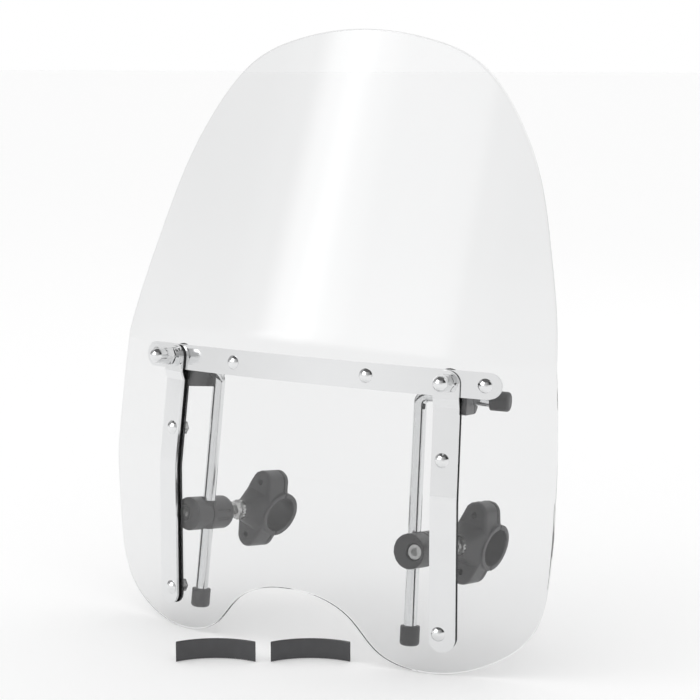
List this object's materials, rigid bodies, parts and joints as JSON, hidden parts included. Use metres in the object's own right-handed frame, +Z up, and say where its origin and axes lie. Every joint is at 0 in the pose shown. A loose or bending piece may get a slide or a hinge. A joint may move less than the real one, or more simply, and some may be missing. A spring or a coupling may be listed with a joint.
{
  "type": "motorcycle windshield",
  "caption": "Clear handlebar windshield with chrome straps and two L-shaped rods that end in swivelling black bar clamps.",
  "frame": {"origin": "middle of the whole footprint, at the level of the screen's two lowest lobes", "axes": "+Z up, +X across the screen to the right as seen from the front, +Y to the rider"},
  "size_m": [0.406, 0.2048, 0.4803],
  "materials": {
    "clear_sheet": "clear, polished",
    "chrome": "bright",
    "zinc_steel": "zinc plated steel",
    "black_steel": "black oxide steel",
    "black_plastic": "moulded, slightly satin",
    "liner_plastic": "smooth",
    "rubber": "matte",
    "strip_rubber": "smooth matte"
  },
  "bodies": {
    "screen": {"screen": "clear_sheet", "crossbar": "chrome", "crossbar_gasket": "rubber", "crossbar_bolts": "chrome", "crossbar_washers": "zinc_steel", "crossbar_nuts": "zinc_steel", "crossbar_rubber_washers": "rubber", "strap_bolts": "chrome", "strap_washers": "zinc_steel", "strap_nuts": "zinc_steel", "flat_washers": "chrome", "spring_washers": "chrome", "acorn_nuts": "chrome", "main_bolts": "chrome", "strap_left": "chrome", "strap_gasket_left": "rubber", "rear_gasket_left": "rubber", "rod_block_front_left": "black_plastic", "rod_block_rear_left": "black_plastic", "strap_right": "chrome", "strap_gasket_right": "rubber", "rear_gasket_right": "rubber", "rod_block_front_right": "black_plastic", "rod_block_rear_right": "black_plastic"},
    "rod_left": {"rod_left": "chrome", "rod_top_cap_left": "rubber", "rod_bottom_cap_left": "rubber"},
    "liner_left": {"rod_liner_left": "liner_plastic"},
    "knuckle_left": {"knuckle_front_left": "black_plastic", "knuckle_rear_left": "black_plastic", "pinch_bolt_left": "zinc_steel", "pinch_washer_left": "zinc_steel", "lock_nut_left": "zinc_steel"},
    "clamp_left": {"clamp_front_left": "black_plastic", "clamp_rear_left": "black_plastic", "clamp_screws_left": "black_steel"},
    "packing_left": {"packing_strip_left": "strip_rubber"},
    "rod_right": {"rod_right": "chrome", "rod_top_cap_right": "rubber", "rod_bottom_cap_right": "rubber"},
    "liner_right": {"rod_liner_right": "liner_plastic"},
    "knuckle_right": {"knuckle_front_right": "black_plastic", "knuckle_rear_right": "black_plastic", "pinch_bolt_right": "zinc_steel", "pinch_washer_right": "zinc_steel", "lock_nut_right": "zinc_steel"},
    "clamp_right": {"clamp_front_right": "black_plastic", "clamp_rear_right": "black_plastic", "clamp_screws_right": "black_steel"},
    "packing_right": {"packing_strip_right": "strip_rubber"}
  },
  "joints": [
    {"name": "rod_tilt_left", "type": "hinge", "parent": "screen", "child": "rod_left", "pos_m": [-0.11553, 0.01814, 0.20425], "axis": [0.9674, -0.2509, 0.033], "range_deg": [0, 70]},
    {"name": "liner_slide_left", "type": "slide", "parent": "rod_left", "child": "liner_left", "axis": [0.0253, 0.1239, 0.992], "range_m": [-0.004, 0.036]},
    {"name": "knuckle_swivel_left", "type": "hinge", "parent": "liner_left", "child": "knuckle_left", "pos_m": [-0.10441, 0.00026, 0.09065], "axis": [-0.0253, -0.1239, -0.992], "range_deg": [0, 45]},
    {"name": "clamp_swivel_left", "type": "hinge", "parent": "knuckle_left", "child": "clamp_left", "pos_m": [-0.10656, 0.04699, 0.08487], "axis": [0.1737, 0.9767, -0.1264], "range_deg": [-90, 90]},
    {"name": "strip_lift_left", "type": "slide", "parent": "screen", "child": "packing_left", "axis": [0, -0.6, 0.8], "range_m": [0, 0.1]},
    {"name": "rod_tilt_right", "type": "hinge", "parent": "screen", "child": "rod_right", "pos_m": [0.11553, 0.01814, 0.20425], "axis": [0.9674, 0.2509, -0.033], "range_deg": [0, 70]},
    {"name": "liner_slide_right", "type": "slide", "parent": "rod_right", "child": "liner_right", "axis": [-0.0253, 0.1239, 0.992], "range_m": [-0.002, 0.07]},
    {"name": "knuckle_swivel_right", "type": "hinge", "parent": "liner_right", "child": "knuckle_right", "pos_m": [0.09093, -0.00357, 0.08864], "axis": [-0.0253, 0.1239, 0.992], "range_deg": [0, 45]},
    {"name": "clamp_swivel_right", "type": "hinge", "parent": "knuckle_right", "child": "clamp_right", "pos_m": [0.10322, 0.04163, 0.08331], "axis": [0.0435, 0.9915, -0.1227], "range_deg": [-90, 90]},
    {"name": "strip_lift_right", "type": "slide", "parent": "screen", "child": "packing_right", "axis": [0, -0.6, 0.8], "range_m": [0, 0.1]}
  ]
}
